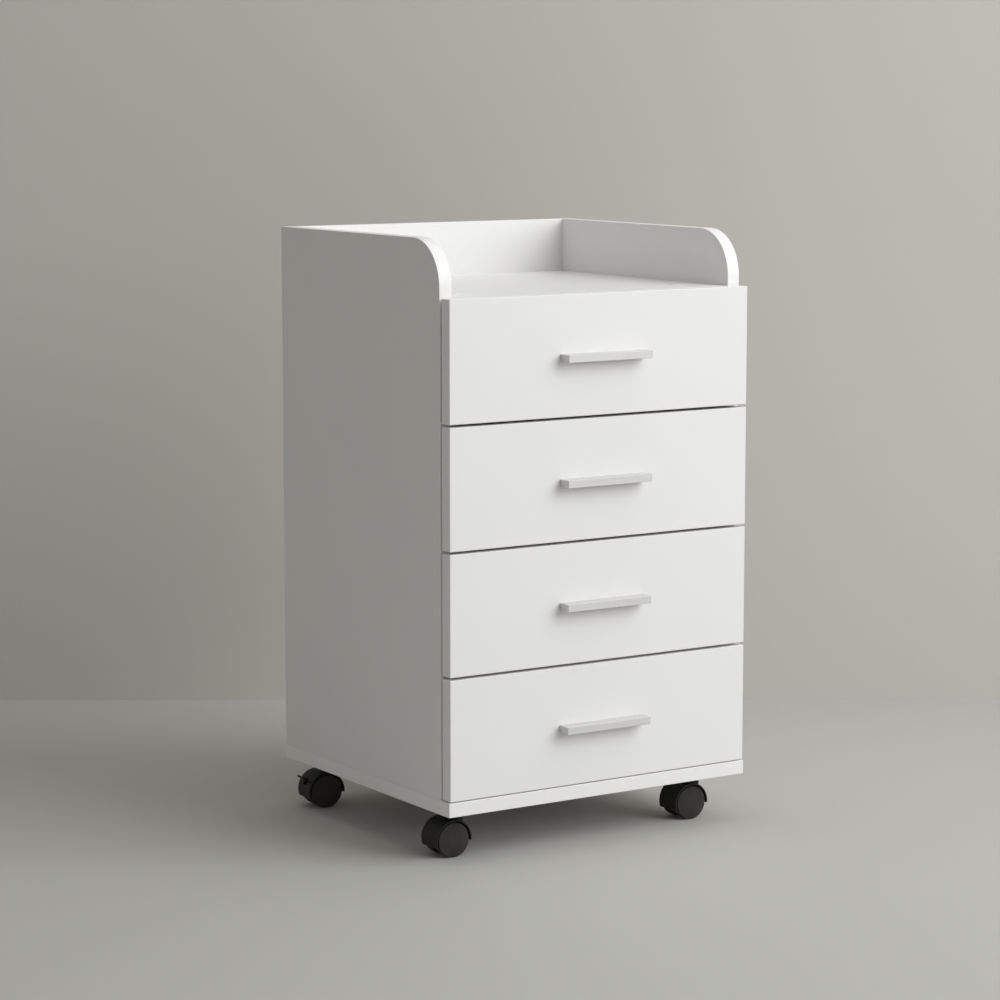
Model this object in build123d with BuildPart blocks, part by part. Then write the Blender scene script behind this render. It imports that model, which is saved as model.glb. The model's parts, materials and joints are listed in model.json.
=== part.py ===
from build123d import *

import os
from math import cos, radians, sin

# A low drawer cabinet on four twin-wheel casters.  Millimetres, +Z up, floor at Z = 0.
# +X is the cabinet's right as seen by a person facing the drawers, +Y its back.

# ---------------------------------------------------------------- overall sizes
WIDTH = 400.0
DEPTH = 363.0
BOARD = 16.0
THIN_BOARD = 12.0
HARDBOARD = 3.0
CASTER_HEIGHT = 55.0
TOTAL_HEIGHT = 680.0
EDGE_RADIUS = 0.8
SNUG = 0.1
OVERCUT = 1.0
END_ROOM = 0.5

HANDLE_REACH = 16.5
FRONT_Y = -(DEPTH - HANDLE_REACH) / 2
BACK_Y = FRONT_Y + DEPTH
HALF = WIDTH / 2
FRONT_INSET = 1.5
FRONT_HALF = HALF - FRONT_INSET
INNER_X = HALF - BOARD

# ---------------------------------------------------------------- carcass
BASE_TOP = CASTER_HEIGHT + BOARD
REVEAL = 2.0
PANEL_FRONT_Y = FRONT_Y + BOARD + REVEAL
WING_RADIUS = 52.0
TRAY_Z = CASTER_HEIGHT + 562.0
TOP_UNDERSIDE = TRAY_Z - BOARD
GALLERY_FRONT_Y = BACK_Y - THIN_BOARD
GROOVE_WIDTH = HARDBOARD + 2 * SNUG
GROOVE_DEPTH = 6.0
BASE_GROOVE_DEPTH = 4.0
BACK_PANEL_SETBACK = 4.0
BACK_PANEL_Y = GALLERY_FRONT_Y + BACK_PANEL_SETBACK

# ---------------------------------------------------------------- drawers, number 1 on top
DRAWERS = 4
FRONT_HEIGHT = 134.0
FRONT_PITCH = 137.0
FRONT_LIFT = 1.0
LOWEST_FRONT_Z = BASE_TOP + FRONT_LIFT
BOX_SIDE_GAP = 6.0
BOX_HALF = INNER_X - BOX_SIDE_GAP
BOX_RISE = 12.0
BOX_HEIGHT = 95.0
BOX_FRONT_Y = FRONT_Y + BOARD
BOX_LENGTH = 314.0
BOX_BACK_Y = BOX_FRONT_Y + BOX_LENGTH
BOX_INNER = BOX_HALF - THIN_BOARD
BOTTOM_RISE = 20.0
BOTTOM_GROOVE = 5.0

# ---------------------------------------------------------------- drawer runners
RUNNER_RISE = 57.0
RUNNER_LENGTH = 300.0
RUNNER_SETBACK = 8.0
RUNNER_FRONT_Y = BOX_FRONT_Y + RUNNER_SETBACK
RUNNER_RIB = 9.4
RUNNER_DEPTH = 12.4
RUNNER_FOOT = 16.0
RUNNER_FOOT_DEPTH = 2.5
RUNNER_SCREW_INSET = 40.0
RUNNER_HEAD_GAP = 0.3
RUNNER_TIP_R = 1.2
SLOT_HEIGHT = 10.0
SLOT_DEPTH = 7.0
SLOT_GAP = 0.3

# ---------------------------------------------------------------- handles
HANDLE_LENGTH = 112.0
HANDLE_SECTION = 8.5
HANDLE_HOLES = 96.0
HANDLE_FOOT = 16.0
HANDLE_TOP = 3.0
HANDLE_LIP = 4.0
HANDLE_CHAMFER = 0.4
HANDLE_RISE = 65.0
HANDLE_THREAD_DEPTH = 7.0

# ---------------------------------------------------------------- screws, cams and dowels
WOOD_SCREW_R = 2.0
WOOD_SCREW_LENGTH = 14.0
WOOD_SCREW_HEAD_R = 3.5
WOOD_SCREW_HEAD = 2.2
HANDLE_SCREW_R = 2.0
HANDLE_SCREW_LENGTH = 22.0
HANDLE_SCREW_HEAD_R = 4.0
HANDLE_SCREW_HEAD = 2.4
BOX_SCREW_R = 1.75
BOX_SCREW_LENGTH = 32.0
BOX_SCREW_HEAD_R = 3.5
CONFIRMAT_R = 2.5
CONFIRMAT_LENGTH = 48.0
CONFIRMAT_HEAD_R = 5.0
CONFIRMAT_HEAD = 5.0
PILOT_GAP = 0.02
PAN_RIM = 0.45
PAN_TOP = 0.72
PAN_ROUND = 0.6
TIP_SLOPE = 1.2
RECESS_SPAN = 1.1
RECESS_WIDTH = 0.24
RECESS_DEPTH = 1.2
HEX_R = 2.3
HEX_DEPTH = 3.0
COUNTERSINK_ANGLE = 90
DOWEL_R = 4.0
THIN_DOWEL_R = 3.0
DOWEL_CHAMFER = 0.8
DOWEL_LENGTH = 30.0
DOWEL_HOLE_PANEL = 12.0
DOWEL_HOLE_END = 19.0
CAM_R = 7.4
CAM_HEIGHT = 11.0
CAM_HOUSING_DEPTH = 12.5
CAM_DISTANCE = 24.0
TOP_CAM_DISTANCE = 34.0
CAM_SUNK = 1.3
SMALL_CAM_SUNK = 0.4
CROSS_SLOT = 1.2
CROSS_SPAN = 1.3
CROSS_DEPTH = 0.8
SMALL_CAM_R = 5.8
SMALL_CAM_HEIGHT = 9.0
SMALL_CAM_HOUSING_DEPTH = 9.8
CAM_GAP = 0.1
BOLT_R = 2.5
BOLT_NECK_R = 1.6
BOLT_HEAD_R = 2.9
BOLT_BORE_R = 3.2
BOLT_BITE = 11.0
BOLT_HEAD = 2.6
BOLT_COLLAR = 1.5
BOLT_PLAY = 0.6
CAP_R = 8.6
CAP_THICKNESS = 1.2
CAP_SEAT = 0.6
CAP_SPIGOT = 0.6
CAP_EDGE_R = 0.5

# ---------------------------------------------------------------- casters
CASTER_X = 162.0
CASTER_FRONT_Y = FRONT_Y + 51.5
CASTER_BACK_Y = BACK_Y - 34.0
TRAIL = 9.5
WHEEL_R = 19.5
WHEEL_INNER = 6.2
WHEEL_SHOULDER = 16.0
WHEEL_FACE = 17.5
WHEEL_ROUND_START = 14.8
WHEEL_ROUND_R = 18.3
WHEEL_HUB_R = 6.5
WHEEL_DRUM_R = 15.0
WHEEL_DRUM_DEPTH = 4.5
WHEEL_BORE_END = 14.0
WHEEL_CHAMFER = 0.8
AXLE_R = 2.5
AXLE_HALF = 13.5
AXLE_CHAMFER = 0.5
RUNNING = 0.05
HOOD_R = 22.8
HOOD_INNER_R = 21.0
HOOD_HALF = 16.5
HOOD_EDGE_R = 0.8
HOOD_TRAILING_ANGLE = -20.0
HOOD_LEADING_ANGLE = 185.0
WEB_HALF = 5.6
HUB_R = 5.5
HUB_HALF = 5.9
NECK_R = 10.0
NECK_BOTTOM = 30.0
PLATE_SIZE = 42.0
PLATE_THICKNESS = 2.5
PLATE_CORNER = 5.0
PLATE_HOLES = 32.0
PLATE_HOLE_R = 2.4
PLATE_BOTTOM = CASTER_HEIGHT - PLATE_THICKNESS
KINGPIN_R = 3.5
KINGPIN_FLANGE_R = 5.5
KINGPIN_FLANGE = 1.2
KINGPIN_LEAD = 1.0
KINGPIN_BOTTOM = 20.0
KINGPIN_BORE_BOTTOM = 18.0
NECK_GAP = 0.5
NECK_TOP = PLATE_BOTTOM - KINGPIN_FLANGE - NECK_GAP

# Each caster's swivel angle at rest: its wheels trail to the cabinet's left.
CASTERS = {
    "fl": (-CASTER_X, CASTER_FRONT_Y, 0.5, False),
    "fr": (CASTER_X, CASTER_FRONT_Y, 0.5, False),
    "rl": (-CASTER_X, CASTER_BACK_Y, 5.0, True),
    "rr": (CASTER_X, CASTER_BACK_Y, 5.0, True),
}

# ---------------------------------------------------------------- brake lever, in the
# caster's side plane: measured from the axle, towards the trailing side and up
LEVER_PIVOT = (6.0, 12.0)
LEVER_LUG = (-1.2, 11.4)
LEVER_HALF = 3.8
LEVER_BODY_R = 3.4
TRUNNION_R = 2.0
LUG_R = 2.0
LUG_BOSS_R = 2.2
LUG_HALF = 9.8
ARM_OUTLINE = [
    (4.5, 14.8),
    (8.5, 14.9),
    (14.5, 12.6),
    (16.19, 11.81),
    (26.28, 18.3),
    (27.58, 16.28),
    (17.49, 9.79),
    (12.5, 9.2),
    (6.0, 8.6),
]
HEEL_OUTLINE = [(6.0, 15.4), (-1.2, 13.6), (-1.2, 9.2), (6.0, 8.6)]
TAB_OUTLINE = [(20.39, 14.52), (26.28, 18.3), (27.58, 16.28), (21.69, 12.5)]
TAB_HALF = 8.5
LEVER_ROOM_HALF = 4.2
POCKET_START = -4.7
POCKET_FLOOR = 6.0
SLOT_START = 11.0
SLOT_FLOOR = 7.2
SLOT_HEIGHT_IN_HOOD = 7.0
LUG_WINDOW_START = -3.7
LUG_WINDOW_WIDTH = 5.1
LUG_WINDOW_FLOOR = 9.0
LUG_WINDOW_HEIGHT = 6.6

LOW_CORNER = (Align.MIN, Align.MIN, Align.MIN)
STANDING = (Align.CENTER, Align.CENTER, Align.MIN)
HANGING = (Align.CENTER, Align.CENTER, Align.MAX)


def block(low, high, mode=Mode.ADD):
    """A box between two corners, added to or cut from the part being built."""
    with Locations(low):
        Box(high[0] - low[0], high[1] - low[1], high[2] - low[2], align=LOW_CORNER, mode=mode)


def drill(points, direction, radius, depth):
    """Round blind holes; direction points out of their mouths."""
    with Locations(*[Plane(origin=point, z_dir=direction) for point in points]):
        Hole(radius, depth)


def save(piece, name):
    piece.part.label = name
    export_step(piece.part, f"parts/{name}.step")


def front_bottom(number):
    return LOWEST_FRONT_Z + (DRAWERS - number) * FRONT_PITCH


# ---------------------------------------------------------------- hardware positions
NUMBERS = range(1, DRAWERS + 1)
SIDES = (-1, 1)
RUNNER_BACK_Y = RUNNER_FRONT_Y + RUNNER_LENGTH
RUNNER_SCREW_YS = (RUNNER_FRONT_Y + RUNNER_SCREW_INSET, RUNNER_BACK_Y - RUNNER_SCREW_INSET)
RUNNER_HEAD_DEPTH = 4.4
CONFIRMAT_INSET = 42.0
CONFIRMAT_YS = (PANEL_FRONT_Y + CONFIRMAT_INSET, 0.0, BACK_Y - CONFIRMAT_INSET)
TOP_CAM_INSETS = (54.5, 50.0)
TOP_DOWEL_INSETS = (24.0, 100.0)
TOP_CAM_YS = (PANEL_FRONT_Y + TOP_CAM_INSETS[0], GALLERY_FRONT_Y - TOP_CAM_INSETS[1])
TOP_DOWEL_YS = (PANEL_FRONT_Y + TOP_DOWEL_INSETS[0], GALLERY_FRONT_Y - TOP_DOWEL_INSETS[1])
TOP_MID_Z = TRAY_Z - BOARD / 2
GALLERY_MID_Y = BACK_Y - THIN_BOARD / 2
GALLERY_CAM_RISE = 20.0
GALLERY_DOWEL_RISE = 44.0
GALLERY_CAM_Z = TRAY_Z + GALLERY_CAM_RISE
GALLERY_DOWEL_Z = TRAY_Z + GALLERY_DOWEL_RISE
BOX_CAM_RISES = (BOX_RISE + 22, BOX_RISE + 76)
BOX_CAM_Y = BOX_FRONT_Y + CAM_DISTANCE
BOX_SIDE_MID = BOX_HALF - THIN_BOARD / 2
BOX_SCREW_RISES = (BOX_RISE + 25, BOX_RISE + 80)
BOX_SCREW_Y = BOX_BACK_Y - THIN_BOARD / 2
SCREW_CORNERS = [(i * PLATE_HOLES / 2, j * PLATE_HOLES / 2) for i in SIDES for j in SIDES]


def caster_screw_points():
    return [(x + dx, y + dy) for x, y, _, _ in CASTERS.values() for dx, dy in SCREW_CORNERS]


def base_board():
    """The board under the cabinet, which the sides stand on and the casters screw to."""
    with BuildPart() as board:
        with BuildSketch(Plane.XY.offset(CASTER_HEIGHT)):
            with Locations((0, FRONT_Y + DEPTH / 2)):
                Rectangle(WIDTH, DEPTH)
        extrude(amount=BOARD)
        fillet(board.edges(), EDGE_RADIUS)
        groove_end = INNER_X + GROOVE_DEPTH
        block(
            (-groove_end, BACK_PANEL_Y, BASE_TOP - BASE_GROOVE_DEPTH),
            (groove_end, BACK_PANEL_Y + GROOVE_WIDTH, BASE_TOP + OVERCUT),
            Mode.SUBTRACT,
        )
        screws = [(x, y, CASTER_HEIGHT) for x, y in caster_screw_points()]
        drill(screws, (0, 0, -1), WOOD_SCREW_R + PILOT_GAP, WOOD_SCREW_LENGTH - PLATE_THICKNESS + END_ROOM)
        through = [(side * (HALF - BOARD / 2), y, CASTER_HEIGHT) for side in SIDES for y in CONFIRMAT_YS]
        drill(through, (0, 0, -1), CONFIRMAT_R + PILOT_GAP, BOARD)
        drill(through, (0, 0, -1), CONFIRMAT_HEAD_R + PILOT_GAP, CONFIRMAT_HEAD)
    save(board, "base_board")


def side_panel(side, name):
    """A side of the carcass; it rises past the tray as a wing with a rounded front corner."""
    inner = side * INNER_X
    inward = (-side, 0, 0)
    with BuildPart() as panel:
        with BuildSketch(Plane.YZ.offset(min(inner, side * HALF))):
            with BuildLine():
                Polyline(
                    (PANEL_FRONT_Y, TOTAL_HEIGHT - WING_RADIUS),
                    (PANEL_FRONT_Y, BASE_TOP),
                    (BACK_Y, BASE_TOP),
                    (BACK_Y, TOTAL_HEIGHT),
                    (PANEL_FRONT_Y + WING_RADIUS, TOTAL_HEIGHT),
                )
                RadiusArc(
                    (PANEL_FRONT_Y + WING_RADIUS, TOTAL_HEIGHT),
                    (PANEL_FRONT_Y, TOTAL_HEIGHT - WING_RADIUS),
                    -WING_RADIUS,
                )
            make_face()
        extrude(amount=BOARD)
        rounded = panel.edges().filter_by(lambda edge: edge.center().Z > BASE_TOP + SNUG)
        fillet(rounded, EDGE_RADIUS)
        low_x, high_x = sorted((inner, inner + side * GROOVE_DEPTH))
        block(
            (low_x, BACK_PANEL_Y, BASE_TOP - OVERCUT),
            (high_x, BACK_PANEL_Y + GROOVE_WIDTH, TOP_UNDERSIDE + GROOVE_DEPTH),
            Mode.SUBTRACT,
        )
        runner_zs = [front_bottom(number) + RUNNER_RISE for number in NUMBERS]
        screws = [(inner, y, z) for z in runner_zs for y in RUNNER_SCREW_YS]
        drill(screws, inward, WOOD_SCREW_R + PILOT_GAP, WOOD_SCREW_LENGTH - RUNNER_HEAD_DEPTH + END_ROOM)
        bolts = [(inner, y, TOP_MID_Z) for y in TOP_CAM_YS] + [(inner, GALLERY_MID_Y, GALLERY_CAM_Z)]
        drill(bolts, inward, BOLT_R + PILOT_GAP, BOLT_BITE + END_ROOM)
        dowels = [(inner, y, TOP_MID_Z) for y in TOP_DOWEL_YS]
        drill(dowels, inward, DOWEL_R + PILOT_GAP, DOWEL_HOLE_PANEL)
        thin_dowel = [(inner, GALLERY_MID_Y, GALLERY_DOWEL_Z)]
        drill(thin_dowel, inward, THIN_DOWEL_R + PILOT_GAP, DOWEL_HOLE_PANEL)
        feet = [(side * (HALF - BOARD / 2), y, BASE_TOP) for y in CONFIRMAT_YS]
        drill(feet, (0, 0, -1), CONFIRMAT_R + PILOT_GAP, CONFIRMAT_LENGTH - BOARD + END_ROOM)
    save(panel, name)


def top_board():
    """The tray floor, held between the wings by cams with dowels beside them."""
    with BuildPart() as board:
        block((-INNER_X, PANEL_FRONT_Y, TOP_UNDERSIDE), (INNER_X, GALLERY_FRONT_Y, TRAY_Z))
        front_edges = board.edges().filter_by(Axis.X).group_by(Axis.Y)[0]
        fillet(front_edges, EDGE_RADIUS)
        for side in SIDES:
            cams = [(side * (INNER_X - TOP_CAM_DISTANCE), y, TRAY_Z) for y in TOP_CAM_YS]
            drill(cams, (0, 0, 1), CAM_R + CAM_GAP, CAM_HOUSING_DEPTH)
            drill(cams, (0, 0, 1), CAP_R + SNUG, CAP_SEAT)
            ends = [(side * INNER_X, y, TOP_MID_Z) for y in TOP_CAM_YS]
            drill(ends, (side, 0, 0), BOLT_BORE_R, TOP_CAM_DISTANCE)
            dowels = [(side * INNER_X, y, TOP_MID_Z) for y in TOP_DOWEL_YS]
            drill(dowels, (side, 0, 0), DOWEL_R + PILOT_GAP, DOWEL_HOLE_END)
    save(board, "top_board")


def gallery_back():
    """The upright strip behind the tray; its cams open on its back face."""
    with BuildPart() as board:
        block((-INNER_X, GALLERY_FRONT_Y, TOP_UNDERSIDE), (INNER_X, BACK_Y, TOTAL_HEIGHT))
        fillet(board.edges().filter_by(Axis.X).group_by(Axis.Z)[-1], EDGE_RADIUS)
        block(
            (-INNER_X, BACK_PANEL_Y, TOP_UNDERSIDE - OVERCUT),
            (INNER_X, BACK_PANEL_Y + GROOVE_WIDTH, TOP_UNDERSIDE + GROOVE_DEPTH),
            Mode.SUBTRACT,
        )
        for side in SIDES:
            cam = [(side * (INNER_X - CAM_DISTANCE), BACK_Y, GALLERY_CAM_Z)]
            drill(cam, (0, 1, 0), SMALL_CAM_R + CAM_GAP, SMALL_CAM_HOUSING_DEPTH)
            outward = (side, 0, 0)
            drill([(side * INNER_X, GALLERY_MID_Y, GALLERY_CAM_Z)], outward, BOLT_BORE_R, CAM_DISTANCE)
            dowel = [(side * INNER_X, GALLERY_MID_Y, GALLERY_DOWEL_Z)]
            drill(dowel, outward, THIN_DOWEL_R + PILOT_GAP, DOWEL_HOLE_END)
    save(board, "gallery_back")


def back_panel():
    """Hardboard held in grooves on all four edges."""
    edge = INNER_X + GROOVE_DEPTH - END_ROOM
    with BuildPart() as panel:
        block(
            (-edge, BACK_PANEL_Y + SNUG, BASE_TOP - BASE_GROOVE_DEPTH + SNUG),
            (edge, BACK_PANEL_Y + SNUG + HARDBOARD, TOP_UNDERSIDE + GROOVE_DEPTH - END_ROOM),
        )
    save(panel, "back_panel")


def drawer_runners():
    """Eight moulded bars on the sides, each with a rib that a drawer's groove slides on."""
    with BuildPart() as runners:
        for number in NUMBERS:
            z = front_bottom(number) + RUNNER_RISE
            for side in SIDES:
                foot_x = sorted((side * INNER_X, side * (INNER_X - RUNNER_FOOT_DEPTH)))
                rib_x = sorted((side * INNER_X, side * (INNER_X - RUNNER_DEPTH)))
                block(
                    (foot_x[0], RUNNER_FRONT_Y, z - RUNNER_FOOT / 2),
                    (foot_x[1], RUNNER_BACK_Y, z + RUNNER_FOOT / 2),
                )
                block(
                    (rib_x[0], RUNNER_FRONT_Y, z - RUNNER_RIB / 2),
                    (rib_x[1], RUNNER_BACK_Y, z + RUNNER_RIB / 2),
                )
        tips = runners.edges().filter_by(Axis.Y).filter_by(
            lambda edge: abs(abs(edge.center().X) - (INNER_X - RUNNER_DEPTH)) < SNUG
        )
        fillet(tips, RUNNER_TIP_R)
        for number in NUMBERS:
            z = front_bottom(number) + RUNNER_RISE
            for side in SIDES:
                tip_x = side * (INNER_X - RUNNER_DEPTH)
                points = [(tip_x, y, z) for y in RUNNER_SCREW_YS]
                drill(points, (-side, 0, 0), WOOD_SCREW_R + SNUG, RUNNER_DEPTH)
                head_depth = RUNNER_DEPTH - RUNNER_HEAD_DEPTH
                drill(points, (-side, 0, 0), WOOD_SCREW_HEAD_R + RUNNER_HEAD_GAP, head_depth)
    save(runners, "drawer_runners")


def lengthwise(plane):
    """The plane of a screw's half section, with its y out along the screw's axis."""
    return Plane(origin=plane.origin, x_dir=plane.x_dir, z_dir=plane.x_dir.cross(plane.z_dir))


def screw(plane, shank_r, length, head_r, head):
    """A pan-head screw: its head stands on the plane and its shank goes down from it."""
    with BuildSketch(lengthwise(plane)) as half:
        with BuildLine():
            Polyline(
                (head_r, head * PAN_RIM),
                (head_r, 0),
                (shank_r, 0),
                (shank_r, shank_r * TIP_SLOPE - length),
                (0, -length),
                (0, head),
                (head_r * PAN_TOP, head),
            )
            RadiusArc((head_r * PAN_TOP, head), (head_r, head * PAN_RIM), head * PAN_ROUND)
        make_face()
    revolve(half.sketch, axis=Axis(plane.origin, plane.z_dir))


def recess(plane, radius, head):
    """The cross-shaped driver recess in a screw head."""
    for turn in (0, 90):
        with Locations(plane.offset(head).location * Rot(0, 0, turn)):
            Box(radius * RECESS_SPAN, radius * RECESS_WIDTH, 2 * RECESS_DEPTH, mode=Mode.SUBTRACT)


def pan_screws(planes, shank_r, length, head_r, head):
    """Pan-head screws, then the recess in each head, in the part being built."""
    for plane in planes:
        screw(plane, shank_r, length, head_r, head)
    for plane in planes:
        recess(plane, head_r, head)


def chipboard_screws():
    """The identical screws that hold the runners to the sides and the casters to the base."""
    planes = []
    for number in NUMBERS:
        z = front_bottom(number) + RUNNER_RISE
        for side in SIDES:
            seat = side * (INNER_X - RUNNER_HEAD_DEPTH)
            for y in RUNNER_SCREW_YS:
                planes.append(Plane(origin=(seat, y, z), x_dir=(0, 1, 0), z_dir=(-side, 0, 0)))
    for x, y in caster_screw_points():
        planes.append(Plane(origin=(x, y, PLATE_BOTTOM), x_dir=(1, 0, 0), z_dir=(0, 0, -1)))
    with BuildPart() as screws:
        pan_screws(planes, WOOD_SCREW_R, WOOD_SCREW_LENGTH, WOOD_SCREW_HEAD_R, WOOD_SCREW_HEAD)
    save(screws, "chipboard_screws")


def confirmat_screws():
    """Long screws up through the base board into the lower edges of the sides."""
    with BuildPart() as screws:
        for side in SIDES:
            for y in CONFIRMAT_YS:
                foot = Plane(origin=(side * (HALF - BOARD / 2), y, CASTER_HEIGHT))
                with Locations(foot):
                    Cylinder(CONFIRMAT_HEAD_R, CONFIRMAT_HEAD, align=STANDING)
                    Cylinder(CONFIRMAT_R, CONFIRMAT_LENGTH, align=STANDING)
        feet = [(side * (HALF - BOARD / 2), y) for side in SIDES for y in CONFIRMAT_YS]
        with BuildSketch(Plane.XY.offset(CASTER_HEIGHT)):
            with Locations(*feet):
                RegularPolygon(HEX_R, 6)
        extrude(amount=HEX_DEPTH, mode=Mode.SUBTRACT)
    save(screws, "confirmat_screws")


def cam_and_bolt(mouth, joint, cam_r, cam_height, sunk, reach):
    """A cam disc below its housing's mouth, and the bolt it pulls.

    mouth is the housing's plane with z out of the board.  joint is the plane where the two
    boards meet, with z pointing from the cam into the other board.
    """
    head_room = 2 * BOLT_HEAD_R + BOLT_PLAY
    cam_top = mouth.offset(-sunk)
    with Locations(cam_top.location * Pos(0, 0, -cam_height / 2)):
        Cylinder(cam_r, cam_height)
    towards = joint.z_dir
    head_centre = joint.origin - towards * reach
    chamber = Plane(origin=head_centre, x_dir=towards, z_dir=mouth.z_dir)
    with Locations(chamber.location):
        Box(head_room, head_room, head_room, mode=Mode.SUBTRACT)
    with Locations(chamber.location * Pos(cam_r / 2, 0, 0)):
        Box(cam_r + 2 * OVERCUT, 2 * BOLT_NECK_R + BOLT_PLAY, head_room, mode=Mode.SUBTRACT)
    for turn in (0, 90):
        with Locations(cam_top.location * Rot(0, 0, turn)):
            Box(cam_r * CROSS_SPAN, CROSS_SLOT, 2 * CROSS_DEPTH, mode=Mode.SUBTRACT)
    with Locations(Plane(origin=head_centre, z_dir=towards)):
        Cylinder(BOLT_HEAD_R, BOLT_HEAD)
        Cylinder(BOLT_NECK_R, reach - BOLT_COLLAR, align=STANDING)
    with Locations(Plane(origin=joint.origin - towards * BOLT_COLLAR, z_dir=towards)):
        Cylinder(BOLT_R, BOLT_BITE + BOLT_COLLAR, align=STANDING)


def cam_fittings():
    """The cams and bolts that hold the tray floor and the gallery strip to the sides."""
    with BuildPart() as fittings:
        for side in SIDES:
            for y in TOP_CAM_YS:
                centre = (side * (INNER_X - TOP_CAM_DISTANCE), y, TRAY_Z)
                mouth = Plane(origin=centre, x_dir=(1, 0, 0), z_dir=(0, 0, 1))
                joint = Plane(origin=(side * INNER_X, y, TOP_MID_Z), z_dir=(side, 0, 0))
                cam_and_bolt(mouth, joint, CAM_R, CAM_HEIGHT, CAM_SUNK, TOP_CAM_DISTANCE)
            centre = (side * (INNER_X - CAM_DISTANCE), BACK_Y, GALLERY_CAM_Z)
            mouth = Plane(origin=centre, x_dir=(1, 0, 0), z_dir=(0, 1, 0))
            joint = Plane(origin=(side * INNER_X, GALLERY_MID_Y, GALLERY_CAM_Z), z_dir=(side, 0, 0))
            cam_and_bolt(mouth, joint, SMALL_CAM_R, SMALL_CAM_HEIGHT, SMALL_CAM_SUNK, CAM_DISTANCE)
    save(fittings, "cam_fittings")


def cover_caps():
    """Round caps over the tray floor's cams, each sunk halfway into a shallow seat."""
    centres = [(side * (INNER_X - TOP_CAM_DISTANCE), y) for side in SIDES for y in TOP_CAM_YS]
    with BuildPart() as caps:
        with Locations(*[(x, y, TRAY_Z - CAP_SEAT) for x, y in centres]):
            Cylinder(CAP_R, CAP_THICKNESS, align=STANDING)
            Cylinder(CAM_R, CAP_SPIGOT, align=HANGING)
        fillet(caps.edges().group_by(Axis.Z)[-1], CAP_EDGE_R)
    save(caps, "cover_caps")


def wooden_dowels():
    """Dowels that locate the tray floor and the gallery strip in the sides."""
    with BuildPart() as dowels:
        for side in SIDES:
            start = side * (INNER_X + DOWEL_HOLE_PANEL - END_ROOM)
            planes = [Plane(origin=(start, y, TOP_MID_Z), z_dir=(-side, 0, 0)) for y in TOP_DOWEL_YS]
            with Locations(*planes):
                Cylinder(DOWEL_R, DOWEL_LENGTH, align=STANDING)
            with Locations(Plane(origin=(start, GALLERY_MID_Y, GALLERY_DOWEL_Z), z_dir=(-side, 0, 0))):
                Cylinder(THIN_DOWEL_R, DOWEL_LENGTH, align=STANDING)
        chamfer(dowels.edges().filter_by(GeomType.CIRCLE), DOWEL_CHAMFER)
    save(dowels, "wooden_dowels")


def drawer_front(number):
    z = front_bottom(number)
    with BuildPart() as front:
        block((-FRONT_HALF, FRONT_Y, z), (FRONT_HALF, FRONT_Y + BOARD, z + FRONT_HEIGHT))
        fillet(front.edges(), EDGE_RADIUS)
        groove_end = BOX_INNER + BOTTOM_GROOVE
        groove_z = z + BOTTOM_RISE - SNUG
        block(
            (-groove_end, BOX_FRONT_Y - BOTTOM_GROOVE, groove_z),
            (groove_end, BOX_FRONT_Y + 1, groove_z + GROOVE_WIDTH),
            Mode.SUBTRACT,
        )
        handle_holes = [(side * HANDLE_HOLES / 2, BOX_FRONT_Y, z + HANDLE_RISE) for side in SIDES]
        drill(handle_holes, (0, 1, 0), HANDLE_SCREW_R + 0.25, BOARD)
        bolts = [(side * BOX_SIDE_MID, BOX_FRONT_Y, z + rise) for side in SIDES for rise in BOX_CAM_RISES]
        drill(bolts, (0, 1, 0), BOLT_R + PILOT_GAP, BOLT_BITE + 0.5)
    save(front, f"drawer_{number}_front")


def drawer_side(number, side, name):
    """A drawer side, with a slot outside for the runner and a groove inside for the bottom."""
    z = front_bottom(number)
    outer = side * BOX_HALF
    inner = side * BOX_INNER
    low_x, high_x = sorted((outer, inner))
    with BuildPart() as board:
        block((low_x, BOX_FRONT_Y, z + BOX_RISE), (high_x, BOX_BACK_Y, z + BOX_RISE + BOX_HEIGHT))
        fillet(board.edges().filter_by(Axis.Y).group_by(Axis.Z)[-1], EDGE_RADIUS)
        slot_x = sorted((outer + side * OVERCUT, side * (BOX_HALF - SLOT_DEPTH)))
        block(
            (slot_x[0], RUNNER_FRONT_Y - SLOT_GAP, z + RUNNER_RISE - SLOT_HEIGHT / 2),
            (slot_x[1], BOX_BACK_Y + OVERCUT, z + RUNNER_RISE + SLOT_HEIGHT / 2),
            Mode.SUBTRACT,
        )
        groove_x = sorted((inner - side * OVERCUT, side * (BOX_INNER + BOTTOM_GROOVE)))
        groove_z = z + BOTTOM_RISE - SNUG
        block(
            (groove_x[0], BOX_FRONT_Y - OVERCUT, groove_z),
            (groove_x[1], BOX_BACK_Y + OVERCUT, groove_z + GROOVE_WIDTH),
            Mode.SUBTRACT,
        )
        cams = [(inner, BOX_CAM_Y, z + rise) for rise in BOX_CAM_RISES]
        drill(cams, (-side, 0, 0), SMALL_CAM_R + CAM_GAP, SMALL_CAM_HOUSING_DEPTH)
        ends = [(side * BOX_SIDE_MID, BOX_FRONT_Y, z + rise) for rise in BOX_CAM_RISES]
        drill(ends, (0, -1, 0), BOLT_BORE_R, CAM_DISTANCE)
        screws = [(outer, BOX_SCREW_Y, z + rise) for rise in BOX_SCREW_RISES]
        with Locations(*[Plane(origin=point, z_dir=(side, 0, 0)) for point in screws]):
            radii = (BOX_SCREW_R + PILOT_GAP, BOX_SCREW_HEAD_R + SNUG)
            CounterSinkHole(*radii, THIN_BOARD, COUNTERSINK_ANGLE)
    save(board, f"drawer_{number}_{name}")


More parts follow.
